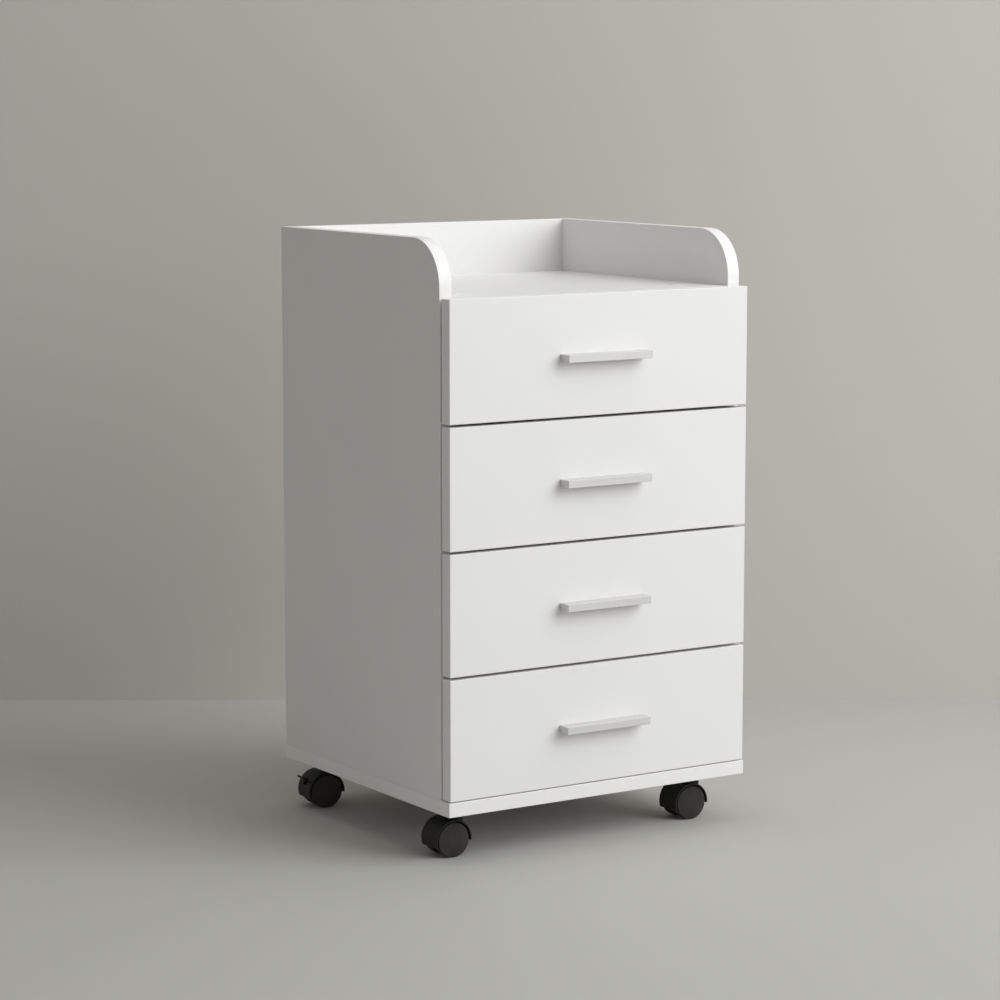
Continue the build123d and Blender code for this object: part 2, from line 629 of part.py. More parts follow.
def drawer_back(number):
    z = front_bottom(number)
    sill = z + BOTTOM_RISE + HARDBOARD + SNUG
    with BuildPart() as board:
        block((-BOX_INNER, BOX_BACK_Y - THIN_BOARD, sill), (BOX_INNER, BOX_BACK_Y, z + BOX_RISE + BOX_HEIGHT))
        fillet(board.edges().filter_by(Axis.X).group_by(Axis.Z)[-1], EDGE_RADIUS)
        for side in SIDES:
            screws = [(side * BOX_INNER, BOX_SCREW_Y, z + rise) for rise in BOX_SCREW_RISES]
            drill(screws, (side, 0, 0), BOX_SCREW_R + PILOT_GAP, BOX_SCREW_LENGTH - THIN_BOARD + END_ROOM)
    save(board, f"drawer_{number}_back")


def drawer_bottom(number):
    z = front_bottom(number) + BOTTOM_RISE
    edge = BOX_INNER + BOTTOM_GROOVE - SNUG
    with BuildPart() as panel:
        block((-edge, BOX_FRONT_Y - BOTTOM_GROOVE + SNUG, z), (edge, BOX_BACK_Y - END_ROOM, z + HARDBOARD))
    save(panel, f"drawer_{number}_bottom")


def drawer_handle(number):
    """A ledge handle in one piece: a top plate, a front lip and a solid foot at each end.

    The fingers reach up behind the lip, and each foot has a blind threaded hole.
    """
    z = front_bottom(number) + HANDLE_RISE
    half = HANDLE_SECTION / 2
    room_half = HANDLE_LENGTH / 2 - HANDLE_FOOT
    with BuildPart() as handle:
        block(
            (-HANDLE_LENGTH / 2, FRONT_Y - HANDLE_REACH, z - half),
            (HANDLE_LENGTH / 2, FRONT_Y, z + half),
        )
        chamfer(handle.edges().filter_by(lambda edge: edge.center().Y < FRONT_Y - SNUG), HANDLE_CHAMFER)
        block(
            (-room_half, FRONT_Y - HANDLE_REACH + HANDLE_LIP, z - half - OVERCUT),
            (room_half, FRONT_Y + OVERCUT, z + half - HANDLE_TOP),
            Mode.SUBTRACT,
        )
        holes = [(side * HANDLE_HOLES / 2, FRONT_Y, z) for side in SIDES]
        drill(holes, (0, 1, 0), HANDLE_SCREW_R + PILOT_GAP, HANDLE_THREAD_DEPTH)
    save(handle, f"drawer_{number}_handle")


def countersunk_screw(plane, shank_r, length, head_r):
    """A screw whose flat head lies level with the plane."""
    with BuildSketch(lengthwise(plane)) as half:
        with BuildLine():
            Polyline(
                (0, 0),
                (head_r, 0),
                (shank_r, shank_r - head_r),
                (shank_r, shank_r * TIP_SLOPE - length),
                (0, -length),
                (0, 0),
            )
        make_face()
    revolve(half.sketch, axis=Axis(plane.origin, plane.z_dir))


def drawer_fasteners(number):
    """The screws of the handle and of the box, and the cams that hold the front on."""
    z = front_bottom(number)
    with BuildPart() as fasteners:
        for side in SIDES:
            for rise in BOX_CAM_RISES:
                centre = (side * BOX_INNER, BOX_CAM_Y, z + rise)
                mouth = Plane(origin=centre, x_dir=(0, 1, 0), z_dir=(-side, 0, 0))
                joint = Plane(origin=(side * BOX_SIDE_MID, BOX_FRONT_Y, z + rise), z_dir=(0, -1, 0))
                cam_and_bolt(mouth, joint, SMALL_CAM_R, SMALL_CAM_HEIGHT, SMALL_CAM_SUNK, CAM_DISTANCE)
        for side in SIDES:
            for rise in BOX_SCREW_RISES:
                origin = (side * BOX_HALF, BOX_SCREW_Y, z + rise)
                seat = Plane(origin=origin, x_dir=(0, 1, 0), z_dir=(side, 0, 0))
                countersunk_screw(seat, BOX_SCREW_R, BOX_SCREW_LENGTH, BOX_SCREW_HEAD_R)
        handle_holes = [(side * HANDLE_HOLES / 2, BOX_FRONT_Y, z + HANDLE_RISE) for side in SIDES]
        seats = [Plane(origin=hole, x_dir=(1, 0, 0), z_dir=(0, 1, 0)) for hole in handle_holes]
        pan_screws(seats, HANDLE_SCREW_R, HANDLE_SCREW_LENGTH, HANDLE_SCREW_HEAD_R, HANDLE_SCREW_HEAD)
    save(fasteners, f"drawer_{number}_fasteners")


def caster_plane(x, y, angle):
    """The upright plane midway between a caster's wheels: origin on the axle, x trailing."""
    turn = radians(angle)
    axle = (x - TRAIL * cos(turn), y + TRAIL * sin(turn), WHEEL_R)
    return Plane(origin=axle, x_dir=(-cos(turn), sin(turn), 0), z_dir=(sin(turn), cos(turn), 0))


def caster_plates():
    with BuildPart() as plates:
        centres = [(x, y) for x, y, _, _ in CASTERS.values()]
        with BuildSketch(Plane.XY.offset(PLATE_BOTTOM)):
            with Locations(*centres):
                RectangleRounded(PLATE_SIZE, PLATE_SIZE, PLATE_CORNER)
                Circle(KINGPIN_R, mode=Mode.SUBTRACT)
            with Locations(*caster_screw_points()):
                Circle(PLATE_HOLE_R, mode=Mode.SUBTRACT)
        extrude(amount=PLATE_THICKNESS)
    save(plates, "caster_plates")


def caster_kingpins():
    """The swivel pins, riveted into the plates, with a flange that bears on the hood's neck."""
    with BuildPart() as pins:
        for x, y, _, _ in CASTERS.values():
            with BuildSketch(Plane(origin=(x, y, 0), x_dir=(1, 0, 0), z_dir=(0, -1, 0))) as half:
                with BuildLine():
                    Polyline(
                        (0, KINGPIN_BOTTOM),
                        (KINGPIN_R - KINGPIN_LEAD, KINGPIN_BOTTOM),
                        (KINGPIN_R, KINGPIN_BOTTOM + KINGPIN_LEAD),
                        (KINGPIN_R, PLATE_BOTTOM - KINGPIN_FLANGE),
                        (KINGPIN_FLANGE_R, PLATE_BOTTOM - KINGPIN_FLANGE),
                        (KINGPIN_FLANGE_R, PLATE_BOTTOM),
                        (KINGPIN_R, PLATE_BOTTOM),
                        (KINGPIN_R, CASTER_HEIGHT),
                        (0, CASTER_HEIGHT),
                        (0, KINGPIN_BOTTOM),
                    )
                make_face()
            revolve(half.sketch, axis=Axis((x, y, 0), (0, 0, 1)))
    save(pins, "caster_kingpins")


def rim_point(angle):
    turn = radians(angle)
    return (HOOD_R * cos(turn), HOOD_R * sin(turn))


def caster_hood(name, x, y, angle, braked):
    """The cover over the wheels, its web between them, and the neck round the swivel pin."""
    side_view = caster_plane(x, y, angle)
    low_right = rim_point(HOOD_TRAILING_ANGLE)
    low_left = rim_point(HOOD_LEADING_ANGLE)
    with BuildPart() as hood:
        with BuildSketch(side_view):
            with BuildLine():
                ThreePointArc(low_right, rim_point(90), low_left)
                Line(low_left, low_right)
            make_face()
        extrude(amount=HOOD_HALF, both=True)
        fillet(hood.edges().filter_by(GeomType.CIRCLE), HOOD_EDGE_R)
        with BuildSketch(Plane(origin=(x, y, NECK_BOTTOM))):
            Circle(NECK_R)
        extrude(amount=NECK_TOP - NECK_BOTTOM)
        for side in SIDES:
            with BuildSketch(side_view.offset(side * WEB_HALF)):
                Circle(HOOD_INNER_R)
            extrude(amount=side * HOOD_HALF, mode=Mode.SUBTRACT)
        with BuildSketch(side_view):
            Circle(HUB_R)
        extrude(amount=HUB_HALF, both=True)
        if braked:
            cut_lever_room(side_view)
        with BuildSketch(side_view):
            Circle(AXLE_R)
        extrude(amount=HUB_HALF + OVERCUT, both=True, mode=Mode.SUBTRACT)
        drill([(x, y, NECK_TOP)], (0, 0, 1), KINGPIN_R + RUNNING, NECK_TOP - KINGPIN_BORE_BOTTOM)
    save(hood, f"caster_{name}_hood")


def cut_lever_room(side_view):
    """The pocket in a braked hood's web, the slot in its shell, and the trunnion holes."""
    low_left = (Align.MIN, Align.MIN)
    with BuildSketch(side_view) as pocket:
        Circle(HOOD_INNER_R)
        with Locations((POCKET_START, POCKET_FLOOR)):
            Rectangle(2 * HOOD_R, HOOD_R, align=low_left, mode=Mode.INTERSECT)
    extrude(pocket.sketch, amount=LEVER_ROOM_HALF, both=True, mode=Mode.SUBTRACT)
    with BuildSketch(side_view) as slot:
        with Locations((SLOT_START, SLOT_FLOOR)):
            Rectangle(HOOD_R, SLOT_HEIGHT_IN_HOOD, align=low_left)
    extrude(slot.sketch, amount=LEVER_ROOM_HALF, both=True, mode=Mode.SUBTRACT)
    with BuildSketch(side_view) as side_holes:
        with Locations(LEVER_PIVOT):
            Circle(TRUNNION_R + RUNNING)
        with Locations((LUG_WINDOW_START, LUG_WINDOW_FLOOR)):
            Rectangle(LUG_WINDOW_WIDTH, LUG_WINDOW_HEIGHT, align=low_left)
    extrude(side_holes.sketch, amount=HUB_HALF, both=True, mode=Mode.SUBTRACT)


def caster_axle(name, x, y, angle):
    with BuildPart() as axle:
        with BuildSketch(caster_plane(x, y, angle)):
            Circle(AXLE_R)
        extrude(amount=AXLE_HALF, both=True)
        chamfer(axle.edges().filter_by(GeomType.CIRCLE), AXLE_CHAMFER)
    save(axle, f"caster_{name}_axle")


def caster_wheel(name, x, y, angle, side, label):
    """A cupped wheel: flat tread, domed blind face outside, brake drum inside."""
    side_view = caster_plane(x, y, angle)
    out = side_view.z_dir * side
    section = Plane(origin=side_view.origin, x_dir=(0, 0, 1), z_dir=Vector(0, 0, 1).cross(out))
    bore_r = AXLE_R + RUNNING
    with BuildPart() as wheel:
        with BuildSketch(section):
            with BuildLine():
                Polyline(
                    (bore_r, WHEEL_INNER),
                    (WHEEL_HUB_R, WHEEL_INNER),
                    (WHEEL_HUB_R, WHEEL_INNER + WHEEL_DRUM_DEPTH),
                    (WHEEL_DRUM_R, WHEEL_INNER + WHEEL_DRUM_DEPTH),
                    (WHEEL_DRUM_R, WHEEL_INNER),
                    (WHEEL_R - WHEEL_CHAMFER, WHEEL_INNER),
                    (WHEEL_R, WHEEL_INNER + WHEEL_CHAMFER),
                    (WHEEL_R, WHEEL_ROUND_START),
                )
                TangentArc((WHEEL_R, WHEEL_ROUND_START), (WHEEL_ROUND_R, WHEEL_SHOULDER), tangent=(0, 1))
                TangentArc((0, WHEEL_FACE), (WHEEL_ROUND_R, WHEEL_SHOULDER), tangent=(1, 0))
                Polyline(
                    (0, WHEEL_FACE),
                    (0, WHEEL_BORE_END),
                    (bore_r, WHEEL_BORE_END),
                    (bore_r, WHEEL_INNER),
                )
            make_face()
        revolve(axis=Axis(side_view.origin, out))
    save(wheel, f"caster_{name}_{label}")


def brake_lever(name, x, y, angle):
    """A rocker on trunnions: pressing its tab swings the lugs out against the wheel drums."""
    side_view = caster_plane(x, y, angle)
    with BuildPart() as lever:
        with BuildSketch(side_view):
            for outline in (ARM_OUTLINE, HEEL_OUTLINE):
                with BuildLine():
                    Polyline(*outline, close=True)
                make_face()
            with Locations(LEVER_PIVOT):
                Circle(LEVER_BODY_R)
            with Locations(LEVER_LUG):
                Circle(LUG_BOSS_R)
        extrude(amount=LEVER_HALF, both=True)
        with BuildSketch(side_view) as tab:
            with BuildLine():
                Polyline(*TAB_OUTLINE, close=True)
            make_face()
        extrude(tab.sketch, amount=TAB_HALF, both=True)
        for place, radius, half in ((LEVER_PIVOT, TRUNNION_R, WEB_HALF), (LEVER_LUG, LUG_R, LUG_HALF)):
            with BuildSketch(side_view) as pin:
                with Locations(place):
                    Circle(radius)
            extrude(pin.sketch, amount=half, both=True)
    save(lever, f"caster_{name}_brake_lever")


os.makedirs("parts", exist_ok=True)
base_board()
side_panel(-1, "side_panel_left")
side_panel(1, "side_panel_right")
top_board()
gallery_back()
back_panel()
drawer_runners()
chipboard_screws()
confirmat_screws()
cam_fittings()
cover_caps()
wooden_dowels()
for drawer in NUMBERS:
    drawer_front(drawer)
    drawer_side(drawer, -1, "side_left")
    drawer_side(drawer, 1, "side_right")
    drawer_back(drawer)
    drawer_bottom(drawer)
    drawer_handle(drawer)
    drawer_fasteners(drawer)
caster_plates()
caster_kingpins()
for corner, (pivot_x, pivot_y, swivel, has_brake) in CASTERS.items():
    caster_hood(corner, pivot_x, pivot_y, swivel, has_brake)
    caster_axle(corner, pivot_x, pivot_y, swivel)
    caster_wheel(corner, pivot_x, pivot_y, swivel, -1, "wheel_front")
    caster_wheel(corner, pivot_x, pivot_y, swivel, 1, "wheel_rear")
    if has_brake:
        brake_lever(corner, pivot_x, pivot_y, swivel)
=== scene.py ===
import json
import math

import bpy
from mathutils import Matrix, Vector


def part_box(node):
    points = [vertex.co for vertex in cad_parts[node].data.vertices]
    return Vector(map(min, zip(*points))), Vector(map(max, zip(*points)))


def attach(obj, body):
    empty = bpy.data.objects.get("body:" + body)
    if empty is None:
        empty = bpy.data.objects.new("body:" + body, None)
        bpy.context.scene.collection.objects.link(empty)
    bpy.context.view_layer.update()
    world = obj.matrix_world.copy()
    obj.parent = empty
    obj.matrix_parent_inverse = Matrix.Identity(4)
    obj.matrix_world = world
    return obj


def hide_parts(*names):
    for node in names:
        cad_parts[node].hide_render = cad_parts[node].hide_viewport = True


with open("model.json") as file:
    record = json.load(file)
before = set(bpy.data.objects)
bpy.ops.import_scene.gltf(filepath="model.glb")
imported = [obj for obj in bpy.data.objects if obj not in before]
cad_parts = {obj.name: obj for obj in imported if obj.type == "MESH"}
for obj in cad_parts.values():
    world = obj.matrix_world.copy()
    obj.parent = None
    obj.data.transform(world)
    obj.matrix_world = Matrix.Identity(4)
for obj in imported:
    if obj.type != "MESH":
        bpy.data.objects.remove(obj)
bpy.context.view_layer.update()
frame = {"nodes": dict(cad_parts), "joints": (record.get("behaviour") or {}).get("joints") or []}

MM = 0.001

# ---------------------------------------------------------------- camera
CAMERA_PLACE = Vector((-1.9140, -2.9137, 0.8461))
CAMERA_YAW = math.radians(32.997)
CAMERA_PITCH = math.radians(7.804)
CAMERA_LENS = 110.02
SENSOR = 36.0
FAR_CLIP = 50.0


def make_camera():
    """A long lens, a little above the cabinet's top, to the left of its front."""
    forward = Vector((
        math.sin(CAMERA_YAW) * math.cos(CAMERA_PITCH),
        math.cos(CAMERA_YAW) * math.cos(CAMERA_PITCH),
        -math.sin(CAMERA_PITCH),
    ))
    right = Vector((math.cos(CAMERA_YAW), -math.sin(CAMERA_YAW), 0.0))
    up = right.cross(forward)
    data = bpy.data.cameras.new("camera")
    data.lens = CAMERA_LENS
    data.sensor_width = SENSOR
    data.clip_end = FAR_CLIP
    camera = bpy.data.objects.new("camera", data)
    turn = Matrix((right, up, -forward)).transposed().to_4x4()
    camera.matrix_world = Matrix.Translation(CAMERA_PLACE) @ turn
    bpy.context.scene.collection.objects.link(camera)
    bpy.context.scene.camera = camera


# ---------------------------------------------------------------- node helpers
class Shader:
    """A material under construction: short calls that add nodes and join them."""

    def __init__(self, name):
        self.material = bpy.data.materials.new(name)
        self.material.use_nodes = True
        self.tree = self.material.node_tree
        self.tree.nodes.clear()
        self.out = self.tree.nodes.new("ShaderNodeOutputMaterial")
        self.surface = self.tree.nodes.new("ShaderNodeBsdfPrincipled")
        self.tree.links.new(self.surface.outputs["BSDF"], self.out.inputs["Surface"])
        self.place = self.tree.nodes.new("ShaderNodeTexCoord").outputs["Object"]

    def put(self, value, socket):
        if isinstance(value, bpy.types.NodeSocket):
            self.tree.links.new(value, socket)
        else:
            socket.default_value = value

    def math(self, operation, first, second=0.0, third=0.0):
        node = self.tree.nodes.new("ShaderNodeMath")
        node.operation = operation
        for value, socket in zip((first, second, third), node.inputs):
            self.put(value, socket)
        return node.outputs[0]

    def spread(self, value, low, high, to_low=0.0, to_high=1.0):
        node = self.tree.nodes.new("ShaderNodeMapRange")
        node.clamp = True
        for value_in, socket in zip((value, low, high, to_low, to_high), node.inputs):
            self.put(value_in, socket)
        return node.outputs[0]

    def stretched(self, scale):
        node = self.tree.nodes.new("ShaderNodeMapping")
        self.put(self.place, node.inputs["Vector"])
        node.inputs["Scale"].default_value = scale
        return node.outputs[0]

    def noise(self, scale, detail=2.0, vector=None, rough=0.5):
        node = self.tree.nodes.new("ShaderNodeTexNoise")
        self.put(self.place if vector is None else vector, node.inputs["Vector"])
        node.inputs["Scale"].default_value = scale
        node.inputs["Detail"].default_value = detail
        node.inputs["Roughness"].default_value = rough
        return node.outputs[0]

    def cells(self, scale, vector=None):
        node = self.tree.nodes.new("ShaderNodeTexVoronoi")
        self.put(self.place if vector is None else vector, node.inputs["Vector"])
        node.inputs["Scale"].default_value = scale
        return node.outputs

    def mix(self, factor, first, second):
        node = self.tree.nodes.new("ShaderNodeMix")
        node.data_type = "RGBA"
        for value, key in ((factor, 0), (first, 6), (second, 7)):
            self.put(value, node.inputs[key])
        return node.outputs[2]

    def ramp(self, value, *stops):
        node = self.tree.nodes.new("ShaderNodeValToRGB")
        self.put(value, node.inputs[0])
        elements = node.color_ramp.elements
        while len(elements) < len(stops):
            elements.new(1.0)
        for element, (position, colour) in zip(elements, stops):
            element.position = position
            element.color = colour
        return node.outputs[0]

    def axes(self, vector=None):
        node = self.tree.nodes.new("ShaderNodeSeparateXYZ")
        self.put(self.place if vector is None else vector, node.inputs[0])
        return node.outputs

    def normal(self):
        return self.axes(self.tree.nodes.new("ShaderNodeNewGeometry").outputs["Normal"])

    def one_sided(self):
        """Makes the surface clear from its back, so that it hides nothing seen from there."""
        back = self.tree.nodes.new("ShaderNodeNewGeometry").outputs["Backfacing"]
        mix = self.tree.nodes.new("ShaderNodeMixShader")
        clear = self.tree.nodes.new("ShaderNodeBsdfTransparent")
        self.put(back, mix.inputs[0])
        self.put(self.surface.outputs["BSDF"], mix.inputs[1])
        self.put(clear.outputs[0], mix.inputs[2])
        self.put(mix.outputs[0], self.out.inputs["Surface"])

    def bump(self, height, distance, strength=1.0):
        node = self.tree.nodes.new("ShaderNodeBump")
        node.inputs["Strength"].default_value = strength
        node.inputs["Distance"].default_value = distance
        self.put(height, node.inputs["Height"])
        previous = self.surface.inputs["Normal"]
        if previous.is_linked:
            self.tree.links.new(previous.links[0].from_socket, node.inputs["Normal"])
        self.tree.links.new(node.outputs[0], previous)


def rgb(red, green=None, blue=None):
    if green is None:
        green = blue = red
    return (red, green, blue, 1.0)


def grey(value, warm=0.0):
    return rgb(value, value * (1 - warm * 0.5), value * (1 - warm))


def paint(names, material):
    for name in names:
        slots = frame["nodes"][name].data.materials
        slots.clear()
        slots.append(material)


# ---------------------------------------------------------------- boards
FACE_WHITE = 0.80
BAND_WHITE = 0.83
BOX_WHITE = 0.76
BOTTOM_WHITE = 0.74
BAND_LINE = 0.9 * MM
BAND_LINE_HALF = 0.10 * MM
SKIN = 0.4 * MM
WING_HEIGHT = 0.055
DRAWERS = range(1, 5)
PEARL_SCALE = 1500.0
CLOUD_SCALE = 6.0
SEAM_SHADE = 0.22
FLAKE_HEIGHT = 8.0
BOARD_RELIEF = 0.035 * MM
BOARD_SHINE = 0.45


def edge_distances(s, box):
    """How far a surface point is from the nearer of the board's two sides, along each axis."""
    low, high = box
    result = []
    for axis, value in enumerate(s.axes()):
        below = s.math("SUBTRACT", value, low[axis])
        above = s.math("SUBTRACT", high[axis], value)
        result.append(s.math("MINIMUM", below, above))
    return result


def board(name, thin_axis, banded=(0, 1, 2), core_below=None, brown_side=None, white=FACE_WHITE):
    """Melamine-faced board: pearl-textured faces, smooth edge bands, raw core in its holes.

    thin_axis is the axis of its thickness, banded the axes whose end faces carry an edge band,
    core_below the height that the raw core is limited to, brown_side a bare hardboard face.
    """
    s = Shader("board_" + name)
    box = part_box(name)
    depth = edge_distances(s, box)
    facing = s.math("ABSOLUTE", s.normal()[thin_axis])
    on_face = s.spread(facing, 0.6, 0.8)

    pearl = s.noise(PEARL_SCALE, 2.0)
    cloud = s.noise(CLOUD_SCALE, 3.0)
    face = s.mix(s.spread(cloud, 0.3, 0.7), grey(white, 0.012), grey(white * 1.025, 0.018))
    face = s.mix(s.spread(pearl, 0.2, 0.8, 0.0, 0.25), face, grey(white * 0.93, 0.015))
    band_tone = s.spread(s.noise(90.0, 2.0), 0.3, 0.7)
    band = s.mix(band_tone, grey(BAND_WHITE, 0.01), grey(BAND_WHITE * 1.015, 0.02))
    colour = s.mix(on_face, band, face)

    seam = None
    for axis in banded:
        if axis == thin_axis:
            continue
        away = s.math("ABSOLUTE", s.math("SUBTRACT", depth[axis], BAND_LINE))
        line = s.math("SUBTRACT", 1.0, s.spread(away, BAND_LINE_HALF, BAND_LINE_HALF * 2.5))
        seam = line if seam is None else s.math("MAXIMUM", seam, line)
    if seam is not None:
        seam = s.math("MULTIPLY", seam, on_face)
        colour = s.mix(s.math("MULTIPLY", seam, SEAM_SHADE), colour, grey(0.45, 0.08))

    core_depth = s.math("MINIMUM", s.math("MINIMUM", depth[0], depth[1]), depth[2])
    core = s.spread(core_depth, SKIN, SKIN * 1.5)
    if core_below is not None:
        under = s.math("LESS_THAN", s.axes()[2], core_below)
        core = s.math("MULTIPLY", core, under)
    flakes = s.cells(520.0, s.stretched((1.0, 1.0, 2.5)))
    chips = s.ramp(
        s.noise(700.0, 4.0, rough=0.7),
        (0.30, rgb(0.20, 0.12, 0.06)),
        (0.50, rgb(0.42, 0.29, 0.17)),
        (0.72, rgb(0.62, 0.48, 0.31)),
    )
    colour = s.mix(core, colour, chips)
    if brown_side is not None:
        axis, sign = brown_side
        outward = s.math("MULTIPLY", s.normal()[axis], sign)
        bare = s.spread(outward, 0.4, 0.6)
        fibres = s.ramp(
            s.noise(260.0, 5.0, rough=0.65),
            (0.30, rgb(0.20, 0.115, 0.060)),
            (0.52, rgb(0.29, 0.175, 0.095)),
            (0.75, rgb(0.38, 0.245, 0.140)),
        )
        colour = s.mix(bare, colour, fibres)
        s.bump(s.math("MULTIPLY", bare, s.noise(420.0, 4.0)), 0.10 * MM, 0.5)
        core = s.math("MAXIMUM", core, bare)
    s.put(colour, s.surface.inputs["Base Color"])
    satin = s.spread(s.noise(35.0, 3.0), 0.2, 0.8, 0.36, 0.44)
    s.put(s.math("MAXIMUM", satin, s.math("MULTIPLY", core, 0.9)), s.surface.inputs["Roughness"])
    texture = s.math("MULTIPLY", on_face, pearl)
    if seam is not None:
        texture = s.math("SUBTRACT", texture, s.math("MULTIPLY", seam, 0.8))
    rough_core = s.math("MULTIPLY", core, flakes[0])
    relief = s.math("ADD", texture, s.math("MULTIPLY", rough_core, FLAKE_HEIGHT))
    s.bump(relief, BOARD_RELIEF, 0.55)
    s.surface.inputs["Specular IOR Level"].default_value = BOARD_SHINE
    paint([name], s.material)


WING_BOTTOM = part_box("side_panel_left")[1].z - WING_HEIGHT


def finish_boards():
    board("base_board", 2)
    for name in ("side_panel_left", "side_panel_right"):
        board(name, 0, banded=(1, 2), core_below=WING_BOTTOM)
    board("top_board", 2, banded=(1,))
    board("gallery_back", 1, banded=(2,))
    board("back_panel", 1, banded=(), brown_side=(1, 1.0))
    for number in DRAWERS:
        drawer = f"drawer_{number}_"
        board(drawer + "front", 1)
        board(drawer + "side_left", 0, banded=(), white=BOX_WHITE)
        board(drawer + "side_right", 0, banded=(), white=BOX_WHITE)
        board(drawer + "back", 1, banded=(), white=BOX_WHITE)
        board(drawer + "bottom", 2, banded=(), brown_side=(2, -1.0), white=BOTTOM_WHITE)


# ---------------------------------------------------------------- other materials
def handle_finish():
    """Satin light grey finish: a fine grain drawn along the handle."""
    s = Shader("handle_satin")
    grain = s.noise(900.0, 3.0, s.stretched((0.03, 1.0, 1.0)), 0.6)
    patch = s.noise(25.0, 2.0)
    colour = s.mix(s.spread(grain, 0.3, 0.7), grey(0.62, 0.015), grey(0.68, 0.015))
    s.put(colour, s.surface.inputs["Base Color"])
    s.surface.inputs["Metallic"].default_value = 0.3
    roughness = s.math("ADD", s.spread(grain, 0.2, 0.8, 0.36, 0.46), s.spread(patch, 0.3, 0.7, -0.03, 0.03))
    s.put(roughness, s.surface.inputs["Roughness"])
    s.bump(grain, 0.02 * MM, 0.4)
    return s.material


def moulded(name, dark, light, roughness, grain_scale=1400.0, grain_depth=0.03, scuff=0.0, shine=0.5):
    """Moulded plastic: fine spark-eroded grain, slow colour drift and light scuffs."""
    s = Shader(name)
    grain = s.noise(grain_scale, 3.0, rough=0.6)
    drift = s.noise(60.0, 3.0)
    colour = s.mix(s.spread(drift, 0.3, 0.7), dark, light)
    colour = s.mix(s.spread(grain, 0.45, 0.75, 0.0, 0.35), colour, light)
    if scuff:
        rub = s.noise(180.0, 6.0, s.stretched((1.0, 1.0, 3.0)), 0.75)
        colour = s.mix(s.spread(rub, 0.62, 0.75, 0.0, scuff), colour, grey(0.25, 0.05))
    s.put(colour, s.surface.inputs["Base Color"])
    s.put(s.spread(grain, 0.2, 0.8, roughness - 0.05, roughness + 0.08), s.surface.inputs["Roughness"])
    s.surface.inputs["Specular IOR Level"].default_value = shine
    s.bump(grain, grain_depth * MM, 0.5)
    return s.material


def metal(name, dark, light, roughness, brushed=(1.0, 1.0, 1.0), scale=500.0):
    """Plated or cast metal with a fine grain and a slow cloudiness."""
    s = Shader(name)
    grain = s.noise(scale, 4.0, s.stretched(brushed), 0.65)
    cloud = s.noise(70.0, 3.0)
    colour = s.mix(s.spread(cloud, 0.3, 0.7), dark, light)
    colour = s.mix(s.spread(grain, 0.3, 0.8, 0.0, 0.3), colour, dark)
    s.put(colour, s.surface.inputs["Base Color"])
    s.surface.inputs["Metallic"].default_value = 1.0
    s.put(s.spread(grain, 0.2, 0.8, roughness - 0.06, roughness + 0.10), s.surface.inputs["Roughness"])
    s.bump(grain, 0.02 * MM, 0.5)
    return s.material


def beech():
    s = Shader("beech")
    grain = s.noise(260.0, 5.0, s.stretched((0.06, 1.0, 1.0)), 0.65)
    colour = s.ramp(
        grain,
        (0.30, rgb(0.42, 0.27, 0.15)),
        (0.55, rgb(0.58, 0.40, 0.24)),
        (0.80, rgb(0.68, 0.50, 0.33)),
    )
    s.put(colour, s.surface.inputs["Base Color"])
    s.surface.inputs["Roughness"].default_value = 0.62
    s.bump(grain, 0.06 * MM, 0.5)
    return s.material


# ---------------------------------------------------------------- wheels
WHEEL_TURNS = 128
HUB_R = 6.5 * MM
DRUM_R = 15.0 * MM
DRUM_DEPTH = 4.5 * MM
BORE_R = 2.55 * MM
DOME_RISE = 1.5 * MM
DISC_R = 18.3 * MM
TREAD_CHAMFER = 0.8 * MM
BORE_FLOOR = 3.5 * MM
DOME_RINGS = 14
ROUND_STEPS = 8
ON_AXIS = 1e-9
SHARP_ANGLE = math.radians(32)


def wheel_profile(radius, inner, outer):
    """Half section of a cupped wheel as (radius, distance along the axle) points."""
    shoulder = outer - DOME_RISE
    round_r = radius - DISC_R
    points = [
        (0.0, outer - BORE_FLOOR),
        (BORE_R, outer - BORE_FLOOR),
        (BORE_R, inner),
        (HUB_R, inner),
        (HUB_R, inner + DRUM_DEPTH),
        (DRUM_R, inner + DRUM_DEPTH),
        (DRUM_R, inner),
        (radius - TREAD_CHAMFER, inner),
        (radius, inner + TREAD_CHAMFER),
    ]
    for step in range(ROUND_STEPS + 1):
        turn = math.radians(90 * step / ROUND_STEPS)
        r = DISC_R + round_r * math.cos(turn)
        points.append((r, shoulder - round_r + round_r * math.sin(turn)))
    sphere = (DISC_R ** 2 + DOME_RISE ** 2) / (2 * DOME_RISE)
    for ring in range(1, DOME_RINGS + 1):
        r = DISC_R * (1 - ring / DOME_RINGS)
        points.append((r, outer - sphere + math.sqrt(sphere ** 2 - r ** 2)))
    return points


